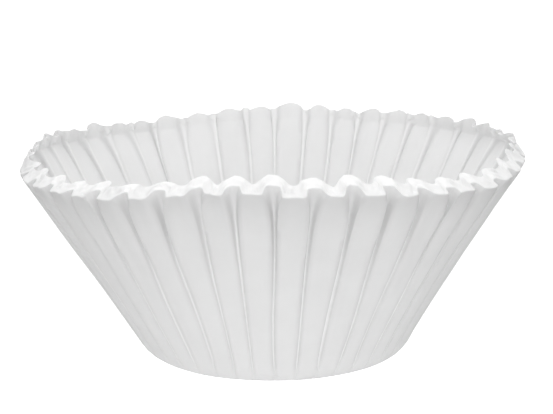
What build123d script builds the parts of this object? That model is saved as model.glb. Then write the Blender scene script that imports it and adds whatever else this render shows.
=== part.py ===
from build123d import *
import math
import os

# ---------------------------------------------------------------------------
# Basket coffee filter. One round sheet of crepe filter paper is pressed so that
# a flat disc stays as the bottom and the rest stands up as a fluted, outward
# sloping wall. The edge of the sheet is turned in round the rim as a narrow lip,
# square to the wall.
#
# Frame: millimetres, +Z up, origin at the middle of the bottom, on the surface
# that the filter stands on. Angles run anticlockwise from +X.
# ---------------------------------------------------------------------------

# The sheet
paper_thickness = 0.2      # crepe filter paper
base_diameter = 109.0      # out to the corner where the wall's line would meet the bottom
rim_diameter = 210.0       # over the outer ridges of the flutes at the rim
ridge_height = 84.0        # height of an outer ridge at the rim
lip_width = 6.5            # turned-in edge, measured across the lip
heel_width = 15.0          # taken by the rounded corner, half on the bottom, half up the wall
heel_steps = 2             # flat steps that the rounded corner is made of

# The flutes
flute_count = 44           # a valley lies on +X
flute_depth = 5.2          # ridge to valley at the rim, in plan
heel_flute_depth = 0.4     # what is left of that depth at the bottom
wall_ridge_share = 0.50    # part of each flute taken by its outer ridge
wall_valley_share = 0.22   # part of each flute taken by its inner valley
lip_ridge_share = 0.14     # the same two parts along the lip's inner edge,
lip_valley_share = 0.60    # where the ridges pinch together

# Bodies that only cut the sheet run past it by this much
cut_margin = 4.0

# Worked out from the sizes above
base_radius = base_diameter / 2
rim_radius = rim_diameter / 2
wall_slant = math.hypot(rim_radius - base_radius, ridge_height)
wall_slope = math.asin(ridge_height / wall_slant)
flute_pitch = 360 / flute_count
lip_reach = lip_width * math.sin(wall_slope)     # how far the lip comes in, measured level
flat_radius = base_radius - heel_width / 2       # where the rounded corner meets the bottom
heel_radius = heel_width / 2 / math.tan(wall_slope / 2)
top_level = ridge_height + flute_depth + lip_width + cut_margin


def ridge_radius_at(level):
    """Radius of the outer ridges at a height above the bottom."""
    return base_radius + (rim_radius - base_radius) * level / ridge_height


def flute_depth_at(level):
    """Ridge to valley at a height: the flutes fan out evenly towards the rim."""
    return heel_flute_depth + (flute_depth - heel_flute_depth) * level / ridge_height


def fluted_section(level, ridge_radius, depth, ridge_share, valley_share, inset=0.0):
    """Level section through all the flutes: ridge and valley arcs joined by straight sides."""
    ridge_angle = flute_pitch * ridge_share
    valley_angle = flute_pitch * valley_share
    side_angle = (flute_pitch - ridge_angle - valley_angle) / 2
    with BuildSketch(Plane.XY.offset(level)) as section:
        with BuildLine():
            for flute in range(flute_count):
                ridge_start = (flute + 0.5) * flute_pitch - ridge_angle / 2
                valley_start = ridge_start + ridge_angle + side_angle
                next_ridge = Vector(ridge_radius, 0).rotate(Axis.Z, ridge_start + flute_pitch)
                ridge = CenterArc((0, 0), ridge_radius, ridge_start, ridge_angle)
                valley = CenterArc((0, 0), ridge_radius - depth, valley_start, valley_angle)
                Line(ridge @ 1, valley @ 0)
                Line(valley @ 1, next_ridge)
        make_face()
        if inset:
            offset(amount=-inset, kind=Kind.INTERSECTION)
    return section.sketch


def wall_sections(thickness):
    """Sections up the rounded corner and above the rim, drawn in by a thickness of paper.

    The thickness is square to the sheet, so the drawing in is more where the sheet lies flatter.
    """
    sections = []
    for step in range(heel_steps + 1):
        turn = wall_slope * step / heel_steps
        slope = turn or wall_slope / heel_steps / 2
        level = heel_radius * (1 - math.cos(turn))
        sections.append(
            fluted_section(
                level,
                flat_radius + heel_radius * math.sin(turn),
                flute_depth_at(level),
                wall_ridge_share,
                wall_valley_share,
                thickness / math.sin(slope),
            )
        )
    sections.append(
        fluted_section(
            top_level,
            ridge_radius_at(top_level),
            flute_depth_at(top_level),
            wall_ridge_share,
            wall_valley_share,
            thickness / math.sin(wall_slope),
        )
    )
    return sections


def within_slant(slant):
    """Everything no further than one length of sheet from the bottom corner.

    Every point of the disc's edge was cut at one distance from the bottom, so the
    pressed rim lies on an arc about the bottom corner: valleys stand higher than ridges.
    """
    with BuildPart() as envelope:
        with BuildSketch(Plane.XZ):
            with BuildLine():
                Line((0, 0), (base_radius + slant, 0))
                CenterArc((base_radius, 0), slant, 0, 90)
                Line((base_radius, slant), (0, slant))
                Line((0, slant), (0, 0))
            make_face()
        revolve(axis=Axis.Z)
    return envelope.part


# The room inside the sheet: above the bottom, within the wall, below the lip
with BuildPart() as inside:
    loft(wall_sections(paper_thickness), ruled=True)
    add(within_slant(wall_slant - paper_thickness), mode=Mode.INTERSECT)
    Cylinder(
        rim_radius,
        paper_thickness,
        align=(Align.CENTER, Align.CENTER, Align.MIN),
        mode=Mode.SUBTRACT,
    )

# The opening that the lip leaves, with the lip's own wider valleys
with BuildPart() as mouth:
    mouth_sections = [
        fluted_section(
            level, rim_radius - lip_reach, flute_depth, lip_ridge_share, lip_valley_share
        )
        for level in (ridge_height - cut_margin, top_level + cut_margin)
    ]
    loft(mouth_sections, ruled=True)

# The sheet itself: bottom, rounded corner, fluted wall and turned-in lip in one piece
with BuildPart() as filter_sheet:
    loft(wall_sections(0), ruled=True)
    add(within_slant(wall_slant), mode=Mode.INTERSECT)
    add(inside.part, mode=Mode.SUBTRACT)
    add(mouth.part, mode=Mode.SUBTRACT)

filter_sheet.part.label = "filter_sheet"

os.makedirs("parts", exist_ok=True)
export_step(filter_sheet.part, "parts/filter_sheet.step")
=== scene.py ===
"""Basket coffee filter: one sheet of white crepe paper pressed into a fluted basket.

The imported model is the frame. The sheet's bottom, rim and flute count are read from it, and the
paper itself is a closed thin shell worked out with numpy: a flat bottom, a rounded corner, a wall
whose flutes fan out towards the rim, and the edge of the sheet turned in as a narrow lip.
"""

import logging
import math
from dataclasses import dataclass, field
from enum import Enum

import bpy
import numpy as np
from mathutils import Matrix, Vector


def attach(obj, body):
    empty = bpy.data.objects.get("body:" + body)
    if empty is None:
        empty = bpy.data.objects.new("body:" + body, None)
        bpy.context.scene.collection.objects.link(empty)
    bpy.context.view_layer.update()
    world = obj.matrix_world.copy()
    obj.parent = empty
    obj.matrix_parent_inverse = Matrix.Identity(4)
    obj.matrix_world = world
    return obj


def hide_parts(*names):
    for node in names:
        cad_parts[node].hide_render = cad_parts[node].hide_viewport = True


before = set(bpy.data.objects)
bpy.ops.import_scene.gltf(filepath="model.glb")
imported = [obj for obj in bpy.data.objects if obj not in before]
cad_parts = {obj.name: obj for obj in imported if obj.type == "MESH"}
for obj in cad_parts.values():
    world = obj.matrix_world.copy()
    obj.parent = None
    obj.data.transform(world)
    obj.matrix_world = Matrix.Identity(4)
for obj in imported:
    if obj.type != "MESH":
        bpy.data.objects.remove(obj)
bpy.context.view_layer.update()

MM = 0.001
LOG = logging.getLogger("coffee_filter")


def eased_ramp(x: np.ndarray, ease: float) -> np.ndarray:
    """Ramp from 0 at x = 0 to 1 at x = 1, with both of its corners rounded.

    Formula: the integral of a unit box from 0 to 1 whose two edges are themselves linear over
    a width of 2 * ease, so each corner becomes a parabola from -ease to +ease about it.

    Args:
        x: Position along the ramp.
        ease: Half-width of each rounded corner.

    Returns:
        The ramp's height at each position.
    """

    def corner(t: np.ndarray) -> np.ndarray:
        """Integral of a step at 0 that is smoothed over -ease to +ease."""
        inside = np.clip(t, -ease, ease)
        return (inside + ease) ** 2 / (4 * ease) + np.maximum(t - ease, 0)

    return corner(x) - corner(x - 1)


class Zone(Enum):
    """The stretches of the sheet, from its middle to its cut edge, with their rows of mesh."""

    BOTTOM = 8
    HEEL = 6
    WALL = 30
    FOLD = 5
    LIP = 10


@dataclass(frozen=True)
class Ripple:
    """Smooth unevenness of the pressed paper, the same in each run.

    Attributes:
        seed: Seed of the random waves.
        waves: Number of waves added up.
        around: Fewest and most waves round the sheet.
        along: Most waves between the bottom corner and the rim.
        height: Usual height of the ripple, in metres.
    """

    seed: int
    waves: int
    around: tuple[int, int]
    along: float
    height: float

    def at(self, angle: np.ndarray, share: np.ndarray) -> np.ndarray:
        """Height of the ripple, in metres.

        Formula: the sum of cosines of (n * angle + m * share + phase), with whole numbers n,
        so that the ripple closes round the sheet, divided by the root of half their number
        and multiplied by the usual height.

        Args:
            angle: Angle round the sheet, in radians.
            share: Place up the wall, 0 at the bottom corner and 1 at the rim.

        Returns:
            The height at each place.
        """
        rng = np.random.default_rng(self.seed)
        total = np.zeros(np.broadcast(angle, share).shape)
        turns = rng.integers(self.around[0], self.around[1] + 1, self.waves)
        climbs = rng.uniform(-self.along, self.along, self.waves) * 2 * math.pi
        phases = rng.uniform(0, 2 * math.pi, self.waves)
        for turn, climb, phase in zip(turns, climbs, phases):
            total += np.cos(turn * angle + climb * share + phase)
        return total / math.sqrt(self.waves / 2) * self.height


class Crinkle(Enum):
    """The ripples of each stretch of the paper."""

    CRUMPLE = Ripple(seed=11, waves=26, around=(18, 90), along=2.2, height=0.22 * MM)
    BELLY = Ripple(seed=12, waves=14, around=(3, 12), along=0.8, height=0.5 * MM)
    CUT_EDGE = Ripple(seed=13, waves=40, around=(60, 200), along=0.0, height=0.12 * MM)
    BOTTOM = Ripple(seed=14, waves=12, around=(1, 9), along=0.0, height=0.12 * MM)
    LIP = Ripple(seed=15, waves=40, around=(90, 260), along=1.6, height=0.35 * MM)


@dataclass(frozen=True)
class RimSag:
    """How far the soft rim has settled away from level and from round.

    Attributes:
        lifts: (order, cosine part, sine part) of the rim's height round the sheet, in metres,
            with the angle measured from the front.
        oval: Cosine part of order 2 of the rim's radius, in metres.
        growth: Power with which the settling grows from the bottom corner to the rim.
        hollow: How far the wall has sunk in half way up on the right, in metres.
    """

    lifts: tuple[tuple[int, float, float], ...] = (
        (0, -0.8 * MM, 0.0),
        (1, 1.0 * MM, 1.2 * MM),
        (2, 1.1 * MM, -0.3 * MM),
        (3, 1.1 * MM, 0.1 * MM),
        (4, 1.3 * MM, -0.3 * MM),
    )
    oval: float = -0.5 * MM
    growth: float = 1.5
    hollow: float = 1.2 * MM

    def lift(self, angle: np.ndarray) -> np.ndarray:
        """Rise of the rim: the sum of a * cos(n * angle) + b * sin(n * angle)."""
        return sum(a * np.cos(n * angle) + b * np.sin(n * angle) for n, a, b in self.lifts)

    def spread(self, angle: np.ndarray) -> np.ndarray:
        """Outward spread of the rim: oval * cos(2 * angle)."""
        return self.oval * np.cos(2 * angle)

    def sunk(self, angle: np.ndarray, climb: np.ndarray) -> np.ndarray:
        """Inward dent: hollow * sin(pi * climb) * sin(angle) squared, on the right only."""
        return self.hollow * np.sin(math.pi * climb) * np.maximum(np.sin(angle), 0) ** 2


@dataclass(frozen=True)
class Stations:
    """Rows of the sheet's mesh, from the middle of the bottom to the cut edge.

    Each array holds one number for each row.

    Attributes:
        radius: Distance from the axis of the line that the flutes stand on.
        height: Height of that line.
        normal_r: Outward part of the direction that leads into the filter.
        normal_z: Upward part of that direction.
        climb: Place up the wall, 0 at the bottom corner and 1 at the rim.
        depth: Share of the flutes' depth at the corner, 0 on the flat bottom and 1 above.
        lip: Place across the lip, 0 at its fold and 1 at its cut edge.
        run: Length of paper from the middle of the bottom.
    """

    radius: np.ndarray
    height: np.ndarray
    normal_r: np.ndarray
    normal_z: np.ndarray
    climb: np.ndarray
    depth: np.ndarray
    lip: np.ndarray
    run: np.ndarray


@dataclass
class Flutes:
    """The flutes round the sheet: how many there are and how uneven the press left them.

    Attributes:
        count: Number of flutes.
        depth: Ridge to valley at the rim, square to the wall, in metres.
        heel_depth: The same at the bottom corner.
        growth: Power with which the depth grows up the wall.
        ridge_half: Part of a flute's columns from the middle of its ridge to the ridge's corner.
        valley_half: Part of a flute's columns from the valley's corner to its middle.
        heel_ridge: Part of a flute's width taken by the ridge at the bottom corner.
        heel_valley: Part of a flute's width taken by the valley there.
        rim_ridge: The ridge's part at the rim in front.
        rim_valley: The valley's part at the rim in front.
        back_ridge: The ridge's part at the rim at the back.
        back_valley: The valley's part at the rim at the back.
        opening: Power with which the valleys open from a pressed groove to their rim width.
        lip_ridge: The ridge's part at the lip's cut edge, where it is pinched.
        lip_valley: The valley's part at the lip's cut edge.
        softness: Rounding of the folds, as a share of a flute's side.
        scallop_ease: Rounding of the dips between the scallops of the cut edge.
        lip_ease: Rounding of the change from pressed folds to scallops across the lip.
        relaxed: How much shallower the valleys lie at the back than in front.
        slip: How far the edge of a valley has slipped down at the back, in metres.
        pitch_spread: Unevenness of the flutes' widths, as a share of their width.
        ridge_spread: Unevenness of the ridges' parts, as a share.
        valley_spread: Unevenness of the valleys' parts, as a share.
        depth_spread: Unevenness of the valleys' depths, as a share.
        push: Unevenness of how far the ridges stand out, in metres.
        sway: Sideways wander of the folds up the wall, as a share of a flute's width.
        lip_evening: Share of the parts' unevenness that is lost at the cut edge.
        painted_highlight_width: Width of the painted highlight line in a valley, as a share of a
            flute's columns.
        painted_shade_width: Width of the painted shade line on a groove's side, as a share of them
            too.
        columns: Mesh columns on half a ridge, on a side and on half a valley.
        seed: Seed of the unevenness.
    """

    count: int
    depth: float = 6.1 * MM
    heel_depth: float = 0.6 * MM
    growth: float = 4.5
    ridge_half: float = 0.22
    valley_half: float = 0.14
    heel_ridge: float = 0.84
    heel_valley: float = 0.05
    rim_ridge: float = 0.50
    rim_valley: float = 0.26
    back_ridge: float = 0.70
    back_valley: float = 0.12
    opening: float = 18.0
    lip_ridge: float = 0.20
    lip_valley: float = 0.50
    softness: float = 0.30
    scallop_ease: float = 0.25
    lip_ease: float = 0.2
    relaxed: float = 0.72
    slip: float = 2.6 * MM
    pitch_spread: float = 0.09
    ridge_spread: float = 0.12
    valley_spread: float = 0.25
    depth_spread: float = 0.14
    push: float = 0.35 * MM
    sway: float = 0.05
    lip_evening: float = 0.7
    painted_highlight_width: float = 0.04
    painted_shade_width: float = 0.07
    columns: tuple[int, int, int] = (3, 4, 2)
    seed: int = 7

    def __post_init__(self) -> None:
        """Lays out the mesh columns and draws the unevenness of each flute."""
        halves = np.array([0.0, self.ridge_half, 0.5 - self.valley_half, 0.5])
        steps = np.cumsum((0, *self.columns))
        half = np.interp(np.arange(steps[-1] + 1), steps, halves)
        self.place = np.concatenate([-half[:0:-1], half[:-1]])
        rng = np.random.default_rng(self.seed)
        self.pitch = 1 + self.pitch_spread * rng.standard_normal(self.count).clip(-2, 2)
        self.pitch *= 2 * math.pi / self.pitch.sum()
        self.middles = np.cumsum(self.pitch) - self.pitch / 2
        self.behind = (1 - np.cos(self.spread_out(self.middles))) / 2
        self.ridge_width = 1 + self.ridge_spread * rng.standard_normal(self.count).clip(-2, 2)
        self.valley_width = 1 + self.valley_spread * rng.standard_normal(self.count).clip(-1.5, 2)
        self.valley_depth = 1 + self.depth_spread * rng.standard_normal(self.count).clip(-2, 2)
        self.ridge_push = self.push * rng.standard_normal(self.count).clip(-2, 2)
        self.wander = self.sway * rng.standard_normal((2, self.count)).clip(-2, 2)
        self.curl = rng.standard_normal((2, self.count)).clip(-2, 2)

    def spread_out(self, per_flute: np.ndarray) -> np.ndarray:
        """Gives each column its own flute's number."""
        return np.repeat(per_flute, self.place.size)

    def between_valleys(self, per_valley: np.ndarray) -> np.ndarray:
        """Gives each column a number that runs evenly from the valley before it to the next."""
        before = self.spread_out(per_valley)
        after = self.spread_out(np.roll(per_valley, -1))
        share = np.tile(self.place + 0.5, self.count)
        return before + (after - before) * share

    def nearest_valley(self, per_valley: np.ndarray) -> np.ndarray:
        """Gives each column the number of the valley on its own side of the ridge."""
        before = self.spread_out(per_valley)
        after = self.spread_out(np.roll(per_valley, -1))
        return np.where(np.tile(self.place, self.count) < 0, before, after)

    def across(self, ridge: np.ndarray, valley: np.ndarray) -> np.ndarray:
        """Distance of each column from the middle of its flute, as a share of the flute.

        Formula: it grows over the ridge's half width, then over the side, then over the
        valley's half width, each in proportion to the columns that it holds.

        Args:
            ridge: The ridge's part of the flute's width.
            valley: The valley's part.

        Returns:
            The distance, 0 in the middle of the ridge and 0.5 in the middle of the valley.
        """
        reach = np.tile(np.abs(self.place), self.count)
        side_span = 0.5 - self.valley_half - self.ridge_half
        return (
            ridge / 2 * np.clip(reach / self.ridge_half, 0, 1)
            + (1 - ridge - valley) / 2 * np.clip((reach - self.ridge_half) / side_span, 0, 1)
            + valley / 2 * np.clip((reach - 0.5 + self.valley_half) / self.valley_half, 0, 1)
        )

    def ridge_weight(self, turned: np.ndarray) -> np.ndarray:
        """Share of the way from the valley out to the ridge at every mesh point.

        Formula: on the wall it is 1 on the ridge and 0 in the valley, with eased folds between
        them. Where the lip is turned in it becomes 1 - the scallops of sin(pi * distance from
        the ridge), which are broad, with narrow dips at the ridges.

        Args:
            turned: Place across the lip times how far the lip is turned in there.

        Returns:
            The weight of every mesh point.
        """
        reach = (np.abs(self.place) - self.ridge_half) / (
            0.5 - self.valley_half - self.ridge_half
        )
        pressed = np.tile(1 - eased_ramp(reach, self.softness), self.count)[None, :]
        wave = np.sin(math.pi * self.across(self.lip_ridge, self.lip_valley))
        return pressed + (1 - self.scallops(wave) - pressed) * eased_ramp(turned, self.lip_ease)

    def scallops(self, wave: np.ndarray) -> np.ndarray:
        """Row of broad domes from 0 to 1 with narrow rounded dips where a wave is 0.

        Formula: the rounded size of the wave, the root of (wave * wave + ease * ease), scaled
        to run from 0 to 1.

        Args:
            wave: Number from -1 to 1 at each column.

        Returns:
            The domes' height at each column, as one row.
        """
        least, most = self.scallop_ease, math.hypot(1, self.scallop_ease)
        return ((np.hypot(wave, least) - least) / (most - least))[None, :]

    def back_domes(self) -> np.ndarray:
        """Domes of the open rim at the back, high on the ridges and low in the valleys."""
        return self.scallops(np.cos(math.pi * self.across(self.back_ridge, self.back_valley)))

    def painted_crease_light(self) -> np.ndarray:
        """Painted light at each column: 1 for a painted highlight line in the valley, -1 for painted
        shade on the groove's sides.

        Formula: a bell curve of the distance from the valley, less a bell curve of the distance
        from the middle of the groove's side.

        Returns:
            The value of every mesh column.
        """
        # Painted highlight along the valley and painted shade on the groove's sides, not a mark of
        # the paper.
        middle = (0.5 - self.valley_half + self.ridge_half) / 2
        side = np.exp(-(((np.abs(self.place) - middle) / self.painted_shade_width) ** 2))
        away = np.clip(0.5 - self.valley_half - np.abs(self.place), 0, None)
        return np.tile(np.exp(-((away / self.painted_highlight_width) ** 2)) - side, self.count)

    def angles(self, stations: Stations) -> np.ndarray:
        """Angle of every mesh point from the front, anticlockwise seen from above.

        Formula: the middle of each flute plus or minus the column's distance from it. The
        valleys open from pressed grooves at the bottom corner to their width at the rim, which
        is less at the back, and on the lip in front the widths change to those of the cut edge.

        Args:
            stations: The rows of the mesh.

        Returns:
            Angles in radians, one row for each station and one column for each mesh column.
        """
        lip = stations.lip[:, None]
        climb = stations.climb[:, None]
        opened = climb**self.opening
        rim_ridge = self.rim_ridge + (self.back_ridge - self.rim_ridge) * self.behind
        rim_valley = self.rim_valley + (self.back_valley - self.rim_valley) * self.behind
        ridge = self.heel_ridge + (rim_ridge - self.heel_ridge) * opened
        valley = self.heel_valley + (rim_valley - self.heel_valley) * opened
        turned = lip * (1 - self.behind)
        ridge = ridge + (self.lip_ridge - self.rim_ridge) * turned
        valley = valley + (self.lip_valley - self.rim_valley) * turned
        uneven = opened * (1 - self.lip_evening * lip)
        ridge = ridge * self.spread_out(self.ridge_width) ** uneven
        valley = valley * self.nearest_valley(self.valley_width) ** uneven
        offset = self.across(ridge, valley)
        place = np.tile(self.place, self.count)
        pitch = self.spread_out(self.pitch)
        sway = self.between_valleys(self.wander[0]) * np.sin(math.pi * climb) + (
            self.between_valleys(self.wander[1]) * np.sin(2 * math.pi * climb)
        )
        return self.spread_out(self.middles) + pitch * (np.sign(place) * offset + sway)


@dataclass
class FilterSheet:
    """The whole filter: one closed thin shell of crepe paper.

    Attributes:
        node: The CAD node that it stands for.
        lip_width: Width of the turned-in edge, in metres.
        thickness: Thickness of the paper, in metres.
        heel: Length of paper on each side of the bottom corner that is pressed round.
        fold: Length of paper on each side of the rim's fold that is pressed round.
        lip_opening: Angle by which the lip has opened again at the back, in radians.
        opening_growth: Power with which it opens from the front to the back.
        curl: How far the cut edge curls up or down, in metres.
        bow: How far the middle of the lip hangs below its two edges, in metres.
        flat_spacing: Power that sets the rows' places on the bottom.
        wall_spacing: Power that sets the rows' places on the wall, closer near the rim.
        painted_line_rise: How quickly the painted highlight and shade along the folds begin above the
            bottom corner.
        painted_line_fade: Share of the painted highlight and shade along the folds that is lost at
            the rim.
        near: Distance within which a CAD point counts as on the floor or on the rim.
        sag: How the soft rim has settled.
    """

    node: str
    lip_width: float = 6.5 * MM
    thickness: float = 0.2 * MM
    heel: float = 7.5 * MM
    fold: float = 0.7 * MM
    lip_opening: float = math.radians(86)
    opening_growth: float = 1.5
    curl: float = 0.7 * MM
    bow: float = 0.25 * MM
    flat_spacing: float = 0.8
    wall_spacing: float = 0.85
    painted_line_rise: float = 6.0
    painted_line_fade: float = 0.6
    near: float = 0.02 * MM
    sag: RimSag = field(default_factory=RimSag)

    def __post_init__(self) -> None:
        """Reads the sheet's bottom, rim and flute count from the CAD node.

        The flat bottom ends one heel short of the corner. Each ridge is an arc at the rim's
        radius, so the flutes are counted by the wide gaps between those arcs.
        """
        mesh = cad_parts[self.node].data
        points = np.empty(len(mesh.vertices) * 3)
        mesh.vertices.foreach_get("co", points)
        points = points.reshape(-1, 3)
        radii = np.hypot(points[:, 0], points[:, 1])
        on_floor = points[:, 2] < self.near
        self.bottom_radius = float(radii[on_floor].max()) + self.heel
        rim = points[radii > radii.max() - self.near]
        self.rim_radius = float(radii.max())
        self.ridge_height = float(rim[:, 2].max())
        turn = np.sort(np.arctan2(rim[:, 1], rim[:, 0]))
        gaps = np.diff(np.append(turn, turn[0] + 2 * math.pi))
        self.flutes = Flutes(count=int((gaps > 0.6 * gaps.max()).sum()))

    def stations(self) -> Stations:
        """Rows of the mesh along the sheet's section.

        Formula: flat out to the corner; a parabola from the flat to the wall, whose control
        point is the corner; a straight wall; a parabola into the lip, whose control point is
        the rim; and a straight lip square to the wall.

        Returns:
            The rows, from the middle of the bottom to the cut edge.
        """
        wall = np.array([self.rim_radius - self.bottom_radius, self.ridge_height])
        slant = float(np.hypot(*wall))
        along = wall / slant
        inward = np.array([-along[1], along[0]])
        corner = np.array([self.bottom_radius, 0.0])
        rim = corner + wall

        def bend(about: np.ndarray, before: np.ndarray, after: np.ndarray, t: np.ndarray):
            """Parabola round a corner from before to after it."""
            t = t[:, None]
            return (1 - t) ** 2 * (about - before) + 2 * t * (1 - t) * about + t**2 * (about + after)

        flat_t = np.linspace(0, 1, Zone.BOTTOM.value + 1)[1:] ** self.flat_spacing
        heel_t = np.linspace(0, 1, Zone.HEEL.value + 1)[1:]
        wall_t = np.linspace(0, 1, Zone.WALL.value + 1)[1:] ** self.wall_spacing
        fold_t = np.linspace(0, 1, Zone.FOLD.value + 1)[1:]
        lip_t = np.linspace(0, 1, Zone.LIP.value + 1)[1:]
        level = np.array([1.0, 0.0])
        up = np.array([0.0, 1.0])
        start = self.bottom_radius - self.heel
        wall_run = self.heel + (slant - self.heel - self.fold) * wall_t
        lip_run = self.fold + (self.lip_width - self.fold) * lip_t
        points = np.concatenate(
            [
                np.outer(start * flat_t, level),
                bend(corner, self.heel * level, self.heel * along, heel_t),
                corner + np.outer(wall_run, along),
                bend(rim, self.fold * along, self.fold * inward, fold_t),
                rim + np.outer(lip_run, inward),
            ]
        )
        turn = np.concatenate([0 * flat_t, heel_t, 1 + 0 * np.r_[wall_t, fold_t, lip_t]])
        normals = np.outer(1 - turn, up) + np.outer(turn, inward)
        normals /= np.linalg.norm(normals, axis=1, keepdims=True)
        climb = np.concatenate(
            [0 * flat_t, 0 * heel_t, wall_run / slant, 1 + 0 * np.r_[fold_t, lip_t]]
        )
        lip = np.concatenate(
            [
                0 * np.r_[flat_t, heel_t, wall_t],
                fold_t**2 * self.fold / self.lip_width,
                lip_run / self.lip_width,
            ]
        )
        steps = np.linalg.norm(np.diff(points, axis=0, prepend=np.zeros((1, 2))), axis=1)
        return Stations(
            radius=points[:, 0],
            height=points[:, 1],
            normal_r=normals[:, 0],
            normal_z=normals[:, 1],
            climb=climb,
            depth=turn**2,
            lip=lip,
            run=np.cumsum(steps),
        )

    def surface(self, stations: Stations) -> tuple[np.ndarray, np.ndarray]:
        """Outer skin of the paper as a grid of points.

        Formula: each point starts on the section's line and moves into the filter by the
        flute's depth there times (1 - ridge weight). As the sheet was cut round at one length
        from its bottom, a point that has moved in by B also slides back along the wall by
        B * B / (2 * distance up the wall). Towards the back the lip turns from square to the
        wall into the wall's own line, and its edge slips down between broad domes. The ripples
        of each stretch are added, then the rim's settling and, on the bottom, a slight lift.

        Args:
            stations: The rows of the mesh.

        Returns:
            The points, rows by columns by 3, and the angles, rows by columns.
        """
        flutes = self.flutes
        angle = flutes.angles(stations)
        climb = stations.climb[:, None]
        lip = stations.lip[:, None]
        weight = flutes.ridge_weight(lip * (1 - flutes.behind))
        slant = math.hypot(self.rim_radius - self.bottom_radius, self.ridge_height)
        wall_r = (self.rim_radius - self.bottom_radius) / slant
        wall_z = self.ridge_height / slant

        depth = flutes.heel_depth + (flutes.depth - flutes.heel_depth) * climb**flutes.growth
        uneven = 1 + (flutes.nearest_valley(flutes.valley_depth) - 1) * climb
        into = stations.depth[:, None] * depth * uneven * (1 - weight)
        behind = (1 - np.cos(angle)) / 2
        into *= 1 - flutes.relaxed * np.sqrt(behind)
        into -= weight * flutes.spread_out(flutes.ridge_push) * climb**1.5 * (1 - lip / 2)
        into += climb * Crinkle.CRUMPLE.value.at(angle, climb)
        into += climb**2 * Crinkle.BELLY.value.at(angle, climb)

        opened = self.lip_opening * behind**self.opening_growth
        moved = into + self.lip_width * lip * np.cos(opened)
        into -= self.lip_width * lip * (1 - np.cos(opened))
        back = -(moved**2) / (2 * np.maximum(climb * slant, 0.25 * slant)) * climb
        back += self.lip_width * lip * np.sin(opened)
        back -= flutes.slip * lip * behind * (1 - flutes.back_domes())
        curl = weight * flutes.spread_out(flutes.curl[0]) + (1 - weight) * (
            flutes.nearest_valley(flutes.curl[1])
        )
        back += self.curl * lip**1.5 * curl - self.bow * np.sin(math.pi * lip)
        back += lip * Crinkle.CUT_EDGE.value.at(angle, climb)
        back += np.sin(math.pi * lip) * Crinkle.LIP.value.at(angle, lip)

        radius = stations.radius[:, None] + into * stations.normal_r[:, None] + back * wall_r
        height = stations.height[:, None] + into * stations.normal_z[:, None] + back * wall_z
        settle = climb**self.sag.growth
        radius = radius + settle * self.sag.spread(angle) - self.sag.sunk(angle, climb)
        height = height + settle * self.sag.lift(angle)
        flat = (1 - stations.depth[:, None]) * np.clip(
            stations.radius[:, None] / self.bottom_radius, 0, 1
        )
        bottom = Crinkle.BOTTOM.value
        height = height + flat * (bottom.height + bottom.at(angle, climb)).clip(0)
        points = np.stack([radius * np.sin(angle), -radius * np.cos(angle), height], axis=-1)
        return points, angle

    @staticmethod
    def inward_normals(points: np.ndarray) -> np.ndarray:
        """Unit normals of the grid that point into the filter.

        Formula: the cross product of the step up the sheet and the step round it, with steps
        taken between the neighbours on both sides.

        Args:
            points: The outer skin, rows by columns by 3.

        Returns:
            One normal for each point.
        """
        around = np.roll(points, -1, axis=1) - np.roll(points, 1, axis=1)
        upward = np.gradient(points, axis=0)
        normals = np.cross(upward, around)
        return normals / np.linalg.norm(normals, axis=2, keepdims=True)

    def build(self) -> bpy.types.Object:
        """Builds the closed shell: outer skin, inner skin, and the strip along the cut edge.

        Returns:
            The finished piece, in the frame, riding on the root body.
        """
        stations = self.stations()
        outer, angle = self.surface(stations)
        inner = outer + self.inward_normals(outer) * self.thickness
        rows, columns = angle.shape
        skin = rows * columns
        poles = np.array([[0, 0, 0], [0, 0, self.thickness]])
        vertices = np.concatenate([outer.reshape(-1, 3), inner.reshape(-1, 3), poles])

        index = np.arange(skin).reshape(rows, columns)
        ahead = np.roll(index, -1, axis=1)
        quads = np.stack([index[:-1], ahead[:-1], ahead[1:], index[1:]], axis=-1).reshape(-1, 4)
        edge = np.stack([index[-1], ahead[-1], ahead[-1] + skin, index[-1] + skin], axis=-1)
        faces = np.concatenate([quads, quads[:, ::-1] + skin, edge])
        fans = np.concatenate(
            [
                np.stack([np.full(columns, 2 * skin), ahead[0], index[0]], axis=-1),
                np.stack([np.full(columns, 2 * skin + 1), index[0] + skin, ahead[0] + skin], axis=-1),
            ]
        )
        mesh = bpy.data.meshes.new(self.node + "_paper")
        mesh.from_pydata(vertices.tolist(), [], faces.tolist() + fans.tolist())
        mesh.validate()
        mesh.polygons.foreach_set("use_smooth", np.ones(len(mesh.polygons), bool))
        mesh.set_sharp_from_angle(angle=math.radians(60))
        self.mark(mesh, stations, angle)
        mesh.update()

        piece = bpy.data.objects.new("crepe_paper_sheet", mesh)
        bpy.context.scene.collection.objects.link(piece)
        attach(piece, "root")
        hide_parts(self.node)
        return piece

    def mark(self, mesh: bpy.types.Mesh, stations: Stations, angle: np.ndarray) -> None:
        """Gives the mesh a map of the flat sheet and an attribute of painted highlight and shade
        along its folds.

        Formula: a point's place on the flat sheet is (run * cos(angle), run * sin(angle)),
        scaled so that the whole disc fills the map.

        Args:
            mesh: The shell's mesh.
            stations: Its rows.
            angle: Angles of the grid.
        """
        run = stations.run[:, None] / stations.run[-1] / 2
        flat = np.stack([0.5 + run * np.cos(angle), 0.5 + run * np.sin(angle)], axis=-1)
        flat = flat.reshape(-1, 2)
        by_vertex = np.concatenate([flat, flat, np.full((2, 2), 0.5)])
        corner_vertex = np.empty(len(mesh.loops), np.int32)
        mesh.loops.foreach_get("vertex_index", corner_vertex)
        layer = mesh.uv_layers.new(name="flat_sheet")
        layer.data.foreach_set("uv", by_vertex[corner_vertex].astype(np.float32).ravel())

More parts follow.
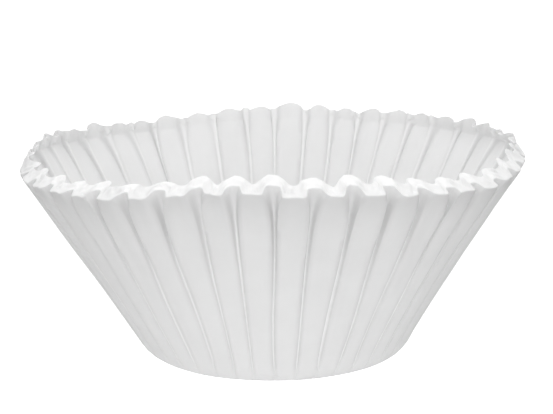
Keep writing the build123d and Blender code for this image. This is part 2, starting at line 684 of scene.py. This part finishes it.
        # Painted light along the folds: painted highlight lines in the valleys and painted shade on
        # the groove sides.
        fade = np.clip(stations.climb * self.painted_line_rise, 0, 1)
        fade *= 1 - self.painted_line_fade * stations.climb**2
        painted_lines = (self.flutes.painted_crease_light()[None, :] * fade[:, None]).ravel()
        painted_crease_light = np.concatenate([painted_lines, painted_lines, np.zeros(2)])
        mesh.attributes.new("painted_crease_light", "FLOAT", "POINT").data.foreach_set(
            "value", painted_crease_light.astype(np.float32)
        )


def new_group(
    name: str, inputs: dict[str, tuple[str, float]], outputs: dict[str, str]
) -> bpy.types.NodeTree:
    """Makes an empty shader node group.

    Args:
        name: The group's name.
        inputs: Socket type and default of each input, by name.
        outputs: Socket type of each output, by name.

    Returns:
        The group, with its input and output nodes in it.
    """
    group = bpy.data.node_groups.new(name, "ShaderNodeTree")
    for label, (kind, default) in inputs.items():
        socket = group.interface.new_socket(label, in_out="INPUT", socket_type=kind)
        if kind == "NodeSocketFloat":
            socket.default_value = default
    for label, kind in outputs.items():
        group.interface.new_socket(label, in_out="OUTPUT", socket_type=kind)
    group.nodes.new("NodeGroupInput")
    group.nodes.new("NodeGroupOutput")
    return group


class Weave:
    """Short hand for adding nodes to one node tree and joining them."""

    def __init__(self, tree: bpy.types.NodeTree) -> None:
        """Keeps the tree and finds its group input and output, if it has them."""
        self.tree = tree
        self.source = next((n for n in tree.nodes if n.type == "GROUP_INPUT"), None)
        self.sink = next((n for n in tree.nodes if n.type == "GROUP_OUTPUT"), None)

    def add(self, kind: str, **settings: object) -> bpy.types.Node:
        """Adds a node and sets its properties."""
        node = self.tree.nodes.new(kind)
        for name, value in settings.items():
            setattr(node, name, value)
        return node

    def join(self, value: object, socket: bpy.types.NodeSocket) -> None:
        """Links an output to a socket, or sets the socket if value is a plain number."""
        if isinstance(value, bpy.types.NodeSocket):
            self.tree.links.new(value, socket)
        else:
            socket.default_value = value

    def math(self, operation: str, *values: object) -> bpy.types.NodeSocket:
        """Adds a Math node with the given operation and operands."""
        node = self.add("ShaderNodeMath", operation=operation)
        for value, socket in zip(values, node.inputs):
            self.join(value, socket)
        return node.outputs[0]

    def noise(
        self, vector: object, scale: float, detail: float, roughness: float
    ) -> bpy.types.NodeSocket:
        """Adds a Noise Texture and gives its Fac output."""
        node = self.add("ShaderNodeTexNoise")
        self.join(vector, node.inputs["Vector"])
        node.inputs["Scale"].default_value = scale
        node.inputs["Detail"].default_value = detail
        node.inputs["Roughness"].default_value = roughness
        return node.outputs["Fac"]


def fibre_mat_group() -> bpy.types.NodeTree:
    """Tangled fibres of paper: a felt of short threads and the clouds that they gather in.

    Returns:
        A group that turns a position in metres into a felt height and a cloud value, 0 to 1.
    """
    group = new_group(
        "fibre_mat",
        {"Position": ("NodeSocketVector", 0.0)},
        {"Felt": "NodeSocketFloat", "Cloud": "NodeSocketFloat"},
    )
    weave = Weave(group)
    position = weave.source.outputs["Position"]
    threads = weave.noise(position, scale=1400.0, detail=4.0, roughness=0.7)
    clumps = weave.noise(position, scale=420.0, detail=3.0, roughness=0.6)
    clouds = weave.noise(position, scale=70.0, detail=3.0, roughness=0.6)
    most = weave.math("MULTIPLY", threads, 0.6)
    rest = weave.math("MULTIPLY", clumps, 0.4)
    weave.join(weave.math("ADD", most, rest), weave.sink.inputs["Felt"])
    weave.join(clouds, weave.sink.inputs["Cloud"])
    return group


def crepe_group() -> bpy.types.NodeTree:
    """Crepe: fine wavy wrinkles that run one way across the flat sheet.

    Returns:
        A group that turns a place on the flat sheet, in metres, into a wrinkle height.
    """
    group = new_group(
        "crepe_wrinkles",
        {"Sheet": ("NodeSocketVector", 0.0), "Wrinkles per metre": ("NodeSocketFloat", 1100.0)},
        {"Wrinkle": "NodeSocketFloat"},
    )
    weave = Weave(group)
    stretch = weave.add("ShaderNodeMapping")
    weave.join(weave.source.outputs["Sheet"], stretch.inputs["Vector"])
    stretch.inputs["Scale"].default_value = (1.0, 0.22, 1.0)
    noise = weave.add("ShaderNodeTexNoise")
    weave.join(stretch.outputs["Vector"], noise.inputs["Vector"])
    weave.join(weave.source.outputs["Wrinkles per metre"], noise.inputs["Scale"])
    noise.inputs["Detail"].default_value = 2.0
    noise.inputs["Distortion"].default_value = 0.4
    weave.join(noise.outputs["Fac"], weave.sink.inputs["Wrinkle"])
    return group


@dataclass(frozen=True)
class PaperFinish:
    """Bleached white crepe filter paper.

    Attributes:
        thin: Colour where the fibres lie thin.
        thick: Colour where they gather.
        painted_highlight_share: How far the bottom of a pressed valley is painted towards the
            highlight tone, a painted highlight.
        painted_shade_share: How far a groove's sides are painted towards the shade tone, as painted
            shade.
        highlight_tone, shade_tone: Those two painted tones.
        glow: Share of the light that passes through one skin.
        felt_depth: Bump of the felt, in metres.
        crepe_depth: Bump of the crepe wrinkles, in metres.
    """

    thin: tuple[float, float, float, float] = (0.83, 0.83, 0.83, 1.0)
    thick: tuple[float, float, float, float] = (0.88, 0.88, 0.88, 1.0)
    painted_highlight_share: float = 0.7
    painted_shade_share: float = 0.10
    highlight_tone: float = 0.96
    shade_tone: float = 0.0
    glow: float = 0.40
    felt_depth: float = 0.03 * MM
    crepe_depth: float = 0.06 * MM

    def material(self, sheet_span: float) -> bpy.types.Material:
        """Builds the material.

        Args:
            sheet_span: Diameter of the flat sheet, in metres, that the map of it covers.

        Returns:
            The paper material.
        """
        paper = bpy.data.materials.new("white_crepe_paper")
        paper.use_nodes = True
        tree = paper.node_tree
        tree.nodes.clear()
        weave = Weave(tree)
        place = weave.add("ShaderNodeTexCoord")
        fibres = weave.add("ShaderNodeGroup", node_tree=fibre_mat_group())
        weave.join(place.outputs["Object"], fibres.inputs["Position"])
        flat = weave.add("ShaderNodeUVMap", uv_map="flat_sheet")
        span = weave.add("ShaderNodeVectorMath", operation="SCALE")
        weave.join(flat.outputs["UV"], span.inputs[0])
        span.inputs["Scale"].default_value = sheet_span
        crepe = weave.add("ShaderNodeGroup", node_tree=crepe_group())
        weave.join(span.outputs["Vector"], crepe.inputs["Sheet"])
        # Mask of painted light along the folds: painted highlight in the valleys, painted shade on
        # the groove sides.
        fold = weave.add("ShaderNodeAttribute", attribute_name="painted_crease_light")

        tint = weave.add("ShaderNodeMix", data_type="RGBA")
        weave.join(fibres.outputs["Cloud"], tint.inputs["Factor"])
        tint.inputs["A"].default_value = self.thin
        tint.inputs["B"].default_value = self.thick
        colour = tint.outputs["Result"]
        # Paints a highlight into the colour along the valleys and paints shade along the groove
        # sides.
        painted_touches = ((self.painted_highlight_share, self.highlight_tone), (-self.painted_shade_share, self.shade_tone))
        for share, painted_tone in painted_touches:
            painted_touch = weave.add("ShaderNodeMix", data_type="RGBA")
            near = weave.math("MAXIMUM", weave.math("MULTIPLY", fold.outputs["Fac"], share), 0.0)
            weave.join(near, painted_touch.inputs["Factor"])
            weave.join(colour, painted_touch.inputs["A"])
            painted_touch.inputs["B"].default_value = (painted_tone, painted_tone, painted_tone, 1.0)
            colour = painted_touch.outputs["Result"]

        felt = weave.add("ShaderNodeBump")
        felt.inputs["Distance"].default_value = self.felt_depth
        weave.join(fibres.outputs["Felt"], felt.inputs["Height"])
        wrinkle = weave.add("ShaderNodeBump")
        wrinkle.inputs["Distance"].default_value = self.crepe_depth
        weave.join(crepe.outputs["Wrinkle"], wrinkle.inputs["Height"])
        weave.join(felt.outputs["Normal"], wrinkle.inputs["Normal"])

        skin = weave.add("ShaderNodeBsdfPrincipled")
        weave.join(colour, skin.inputs["Base Color"])
        skin.inputs["Roughness"].default_value = 0.88
        skin.inputs["Specular IOR Level"].default_value = 0.25
        skin.inputs["Sheen Weight"].default_value = 0.12
        skin.inputs["Sheen Roughness"].default_value = 0.6
        weave.join(wrinkle.outputs["Normal"], skin.inputs["Normal"])
        through = weave.add("ShaderNodeBsdfTranslucent")
        weave.join(colour, through.inputs["Color"])
        weave.join(wrinkle.outputs["Normal"], through.inputs["Normal"])
        blend = weave.add("ShaderNodeMixShader")
        blend.inputs["Fac"].default_value = self.glow
        weave.join(skin.outputs["BSDF"], blend.inputs[1])
        weave.join(through.outputs["BSDF"], blend.inputs[2])
        sink = weave.add("ShaderNodeOutputMaterial")
        weave.join(blend.outputs["Shader"], sink.inputs["Surface"])
        return paper


class Lamp(Enum):
    """The studio's soft boxes: place, target and edge length in metres, and power in watts."""

    OVERHEAD = ((0.0, 0.10, 0.95), (0.0, 0.0, 0.0), 1.1, 5.9)
    FRONT = ((0.0, -1.2, 0.22), (0.0, 0.0, 0.05), 0.6, 2.8)


@dataclass
class Studio:
    """Pale floor, soft light and the camera.

    Attributes:
        distance: Camera's distance from its target, in metres.
        elevation: Camera's angle above the level, in degrees.
        target: Point that the camera looks at.
        roll: Turn of the camera about its line of sight, in degrees.
        lens: Focal length for a 36 mm wide sensor, in millimetres.
        world_strength: Strength of the white surroundings.
        floor_size: Edge length of the floor, in metres.
        floor_shade: Colour of the floor, which lights the wall from below.
        floor_glow: Strength of the light that the lit table gives off where it is brightest.
        glow_centre: The place where it is brightest, just in front of the filter.
        floor_white: Light that the camera alone sees on the floor, so that it reads as white.
    """

    distance: float = 0.700
    elevation: float = 11.8
    target: tuple[float, float, float] = (1.2 * MM, 0.0, 61.6 * MM)
    roll: float = -0.42
    lens: float = 107.1
    world_strength: float = 0.99
    floor_size: float = 12.0
    floor_shade: float = 0.20
    floor_glow: float = 0.68
    glow_centre: tuple[float, float, float] = (0.0, -0.13, 0.0)
    floor_white: float = 0.92

    def camera(self) -> bpy.types.Object:
        """Adds the camera and makes it the scene's."""
        data = bpy.data.cameras.new("camera")
        data.sensor_width = 36.0
        data.lens = self.lens
        data.clip_start, data.clip_end = 0.01, 50.0
        camera = bpy.data.objects.new("camera", data)
        bpy.context.scene.collection.objects.link(camera)
        tilt = math.radians(self.elevation)
        back = Vector((0.0, -math.cos(tilt), math.sin(tilt)))
        aim = (-back).to_track_quat("-Z", "Y").to_matrix().to_4x4()
        roll = Matrix.Rotation(math.radians(self.roll), 4, "Z")
        place = Matrix.Translation(Vector(self.target) + back * self.distance)
        camera.matrix_world = place @ aim @ roll
        bpy.context.scene.camera = camera
        return camera

    def lamps(self) -> None:
        """Adds each soft box, turned to its target."""
        for lamp in Lamp:
            place, target, size, power = lamp.value
            data = bpy.data.lights.new(lamp.name.lower(), "AREA")
            data.shape = "SQUARE"
            data.size = size
            data.energy = power
            light = bpy.data.objects.new(lamp.name.lower(), data)
            bpy.context.scene.collection.objects.link(light)
            aim = (Vector(target) - Vector(place)).to_track_quat("-Z", "Y")
            light.matrix_world = Matrix.Translation(Vector(place)) @ aim.to_matrix().to_4x4()

    def surroundings(self) -> None:
        """Adds the white world and the view settings that keep whites white."""
        world = bpy.data.worlds.new("studio")
        world.use_nodes = True
        background = world.node_tree.nodes["Background"]
        background.inputs["Color"].default_value = (1.0, 1.0, 1.0, 1.0)
        background.inputs["Strength"].default_value = self.world_strength
        scene = bpy.context.scene
        scene.world = world
        scene.view_settings.view_transform = "Standard"

    def floor(self) -> bpy.types.Object:
        """Adds the pale floor at the height that the filter stands on."""
        half = self.floor_size / 2
        mesh = bpy.data.meshes.new("floor")
        corners = [(-half, -half, 0.0), (half, -half, 0.0), (half, half, 0.0), (-half, half, 0.0)]
        mesh.from_pydata(corners, [], [(0, 1, 2, 3)])
        floor = bpy.data.objects.new("floor", mesh)
        bpy.context.scene.collection.objects.link(floor)
        mesh.materials.append(self.table_top())
        return floor

    def table_top(self) -> bpy.types.Material:
        """Builds the floor's material: a pale lit table, brightest just before the filter.

        Returns:
            The floor's material.
        """
        pale = bpy.data.materials.new("pale_floor")
        pale.use_nodes = True
        weave = Weave(pale.node_tree)
        surface = pale.node_tree.nodes["Principled BSDF"]
        surface.inputs["Base Color"].default_value = (*[self.floor_shade] * 3, 1.0)
        surface.inputs["Roughness"].default_value = 0.9
        surface.inputs["Specular IOR Level"].default_value = 0.1
        surface.inputs["Emission Color"].default_value = (1.0, 1.0, 1.0, 1.0)
        place = weave.add("ShaderNodeTexCoord")
        away = weave.add("ShaderNodeVectorMath", operation="LENGTH")
        centred = weave.add("ShaderNodeVectorMath", operation="SUBTRACT")
        weave.join(place.outputs["Object"], centred.inputs[0])
        centred.inputs[1].default_value = self.glow_centre
        weave.join(centred.outputs["Vector"], away.inputs[0])
        fade = weave.add("ShaderNodeMapRange", interpolation_type="SMOOTHSTEP")
        weave.join(away.outputs["Value"], fade.inputs["Value"])
        fade.inputs["From Min"].default_value = 0.05
        fade.inputs["From Max"].default_value = 0.26
        fade.inputs["To Min"].default_value = self.floor_glow
        fade.inputs["To Max"].default_value = 0.0
        rays = weave.add("ShaderNodeLightPath")
        seen = weave.math("MULTIPLY", rays.outputs["Is Camera Ray"], self.floor_white)
        strength = weave.math("ADD", fade.outputs["Result"], seen)
        weave.join(strength, surface.inputs["Emission Strength"])
        return pale


def main() -> None:
    """Builds the studio and the filter, and reports each piece."""
    logging.basicConfig(level=logging.INFO, format="%(name)s: %(message)s")
    studio = Studio()
    studio.camera()
    studio.lamps()
    studio.surroundings()
    studio.floor()
    LOG.info("studio ready")

    sheet = FilterSheet(node="filter_sheet")
    piece = sheet.build()
    piece.data.materials.append(PaperFinish().material(2 * float(sheet.stations().run[-1])))
    LOG.info("%s: %d flutes, %d faces", piece.name, sheet.flutes.count, len(piece.data.polygons))


if __name__ == "__main__":
    main()
